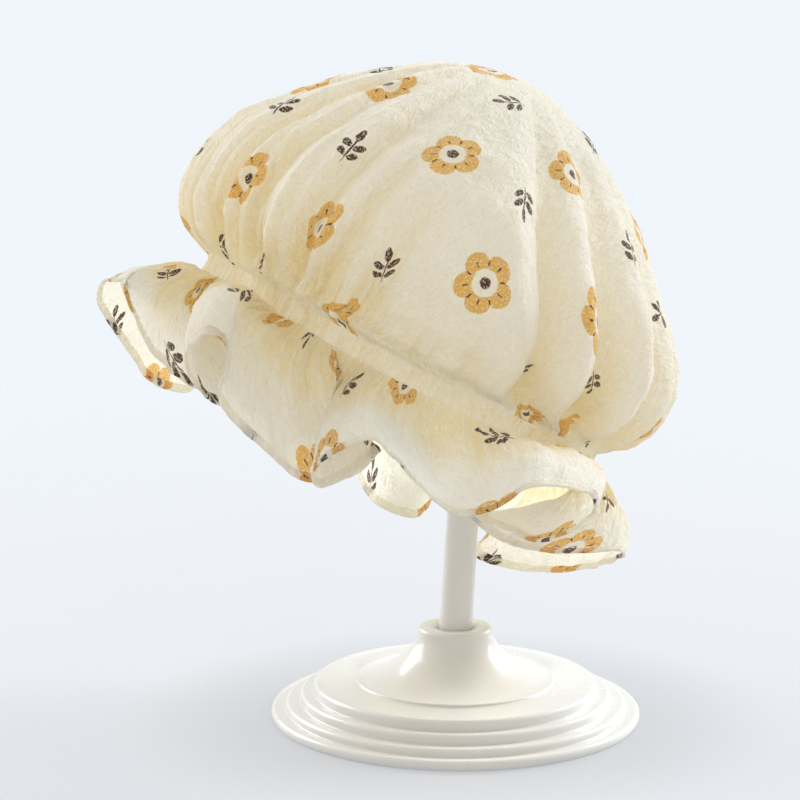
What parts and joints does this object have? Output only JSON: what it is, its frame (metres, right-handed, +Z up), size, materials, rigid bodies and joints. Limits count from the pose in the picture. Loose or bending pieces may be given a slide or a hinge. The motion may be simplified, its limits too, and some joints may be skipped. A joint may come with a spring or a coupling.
{
  "type": "baby cap on display stand",
  "caption": "Soft gathered cloth baby cap with an elastic casing and a wavy ruffle, held up on a plain round-based display stand.",
  "frame": {"origin": "centre of the stand base's flat underside", "axes": "+Z up, -Y towards the near side that the picture shows, +X towards the cap's lower end"},
  "size_m": [0.1975, 0.211, 0.2275],
  "materials": {
    "white_plastic": "glossy white moulded plastic",
    "printed_gauze": "cream double gauze with a small ochre and brown print",
    "gathered_gauze": "cream double gauze gathered over elastic"
  },
  "bodies": {
    "root": {"stand_base": "white_plastic", "stand_pole": "white_plastic", "stand_dome": "white_plastic", "cap_crown": "printed_gauze", "cap_casing": "gathered_gauze", "cap_ruffle": "printed_gauze"}
  },
  "joints": []
}
